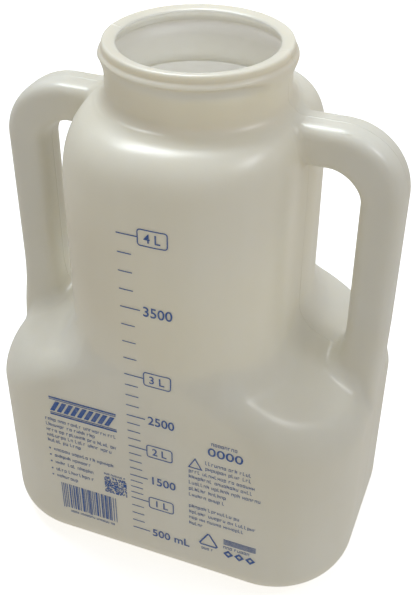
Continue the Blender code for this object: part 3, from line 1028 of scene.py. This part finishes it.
def printed_ink(name, weakest):
    """Blue ink on the plastic; weakest is how much of it the thinnest spots keep."""
    made, tree, shader = new_material(name)
    patches = remap(tree, noise(tree, 420.0, 3.0), 0.35, 0.62, weakest, 1.0)
    pinholes = remap(tree, noise(tree, 2600.0, 1.0), 0.28, 0.38, 0.6, 1.0)
    cover = calc(tree, "MULTIPLY", patches, pinholes)
    shade = mix(tree, noise(tree, 60.0), INK_DARK, INK_LIGHT)
    feed(tree, shader.inputs["Base Color"], mix(tree, cover, UNDER_INK, shade))
    feed(tree, shader.inputs["Roughness"], remap(tree, noise(tree, 300.0), 0.3, 0.7, 0.38, 0.55))
    shader.inputs["Specular IOR Level"].default_value = 0.3
    bump(tree, calc(tree, "MULTIPLY", noise(tree, 1800.0), 0.01), shader)
    return made


def pale_floor():
    """A pale matt floor that glows a little, so that shadows on it stay faint."""
    made, tree, shader = new_material("pale_floor")
    tone = noise(tree, 2.0, 4.0)
    shade = mix(tree, tone, (0.92, 0.92, 0.92, 1.0), (0.95, 0.95, 0.95, 1.0))
    feed(tree, shader.inputs["Base Color"], shade)
    shader.inputs["Roughness"].default_value = 0.9
    shader.inputs["Emission Color"].default_value = (1.0, 1.0, 1.0, 1.0)
    shader.inputs["Emission Strength"].default_value = FLOOR_GLOW
    bump(tree, calc(tree, "MULTIPLY", noise(tree, 900.0), 0.01), shader)
    return made


outside = milky_polyethylene("milky_polyethylene", *OUTSIDE, OUTSIDE_SCATTER)
# The inner face is a lighter copy of the plastic: painted light
inside = milky_polyethylene("milky_polyethylene_inside", *INSIDE, INSIDE_SCATTER)
bottle_data.materials.append(outside)
bottle_data.materials.append(inside)
ink = printed_ink("blue_ink", INK_COVER)
thin_ink = printed_ink("thin_blue_ink", THIN_INK_COVER)
scale_print()
chance = random.Random(PRINT_SEED)
badge_print()
description_print(chance)
features_print(chance)
square_code_print(chance)
bar_code_print(chance)
item_print(chance)
triangle_print()
notes_print(chance)
triangle_loop_print()
foot_print(chance)


# ---------------------------------------------------------------- stage, light and camera

def plane(name, size, location):
    mesh = bmesh.new()
    bmesh.ops.create_grid(mesh, x_segments=2, y_segments=2, size=size / 2.0)
    data = bpy.data.meshes.new(name)
    mesh.to_mesh(data)
    mesh.free()
    made = bpy.data.objects.new(name, data)
    made.location = location
    bpy.context.scene.collection.objects.link(made)
    return made


def studio_world():
    """A soft warm surround: shaded on the front left, neutral on top and bright below."""
    world = bpy.data.worlds.new("studio")
    world.use_nodes = True
    tree = world.node_tree
    split = tree.nodes.new("ShaderNodeSeparateXYZ")
    tree.links.new(tree.nodes.new("ShaderNodeTexCoord").outputs["Generated"], split.inputs[0])
    x, y, z = split.outputs
    left = calc(tree, "MULTIPLY", x, -0.85)
    toward = calc(tree, "ADD", left, calc(tree, "MULTIPLY", y, -0.5))
    shade = remap(tree, toward, -0.1, 0.95, 0.0, 1.0)
    sides = mix(tree, shade, WORLD_COLOUR, WORLD_SHADE)
    height = remap(tree, z, 0.15, 0.8, 0.0, 1.0)
    depth = remap(tree, z, -0.5, 0.0, 1.0, 0.0)
    colour = mix(tree, depth, mix(tree, height, sides, WORLD_TOP), WORLD_LOW)
    back = tree.nodes["Background"]
    feed(tree, back.inputs["Color"], colour)
    back.inputs["Strength"].default_value = WORLD_STRENGTH
    bpy.context.scene.world = world


def area_light(name, location, along, size, power, colour):
    """A rectangular light that faces the bottle, its long side along the given direction."""
    data = bpy.data.lights.new(name, "AREA")
    data.shape = "RECTANGLE"
    data.size, data.size_y = size
    data.energy = power
    data.color = colour
    back = (Vector(location) - AIM).normalized()
    side = Vector(along)
    side = (side - back * side.dot(back)).normalized()
    turn = Matrix((side, back.cross(side), back)).transposed().to_4x4()
    made = bpy.data.objects.new(name, data)
    made.matrix_world = Matrix.Translation(location) @ turn
    bpy.context.scene.collection.objects.link(made)


def inner_lamp():
    """A weak lamp in the bottle, which brightens the inner wall seen through the mouth."""
    data = bpy.data.lights.new("through_the_wall", "POINT")
    data.energy = INNER_LAMP_POWER
    data.shadow_soft_size = INNER_LAMP_RADIUS
    data.color = INNER_LAMP_COLOUR
    made = bpy.data.objects.new("through_the_wall", data)
    made.location = INNER_LAMP_PLACE
    bpy.context.scene.collection.objects.link(made)


def studio_camera():
    data = bpy.data.cameras.new("camera")
    data.sensor_fit = "VERTICAL"
    data.sensor_height = 36.0
    data.lens = CAMERA_LENS
    data.shift_y = CAMERA_SHIFT
    data.clip_end = 50.0
    made = bpy.data.objects.new("camera", data)
    made.matrix_world = (Matrix.Translation(CAMERA_PLACE)
                         @ Matrix.Rotation(math.radians(CAMERA_PAN), 4, "Z")
                         @ Matrix.Rotation(math.radians(CAMERA_TILT), 4, "X")
                         @ Matrix.Rotation(math.radians(CAMERA_ROLL), 4, "Z"))
    bpy.context.scene.collection.objects.link(made)
    bpy.context.scene.camera = made


floor = plane("floor", FLOOR_SIZE, (0.0, 0.0, -FLOOR_DROP))
floor.data.materials.append(pale_floor())
floor.visible_diffuse = False
floor.visible_glossy = False
studio_world()
area_light("overhead", *OVERHEAD)
area_light("right", *RIGHT)
inner_lamp()
studio_camera()
bpy.context.scene.view_settings.view_transform = "Standard"
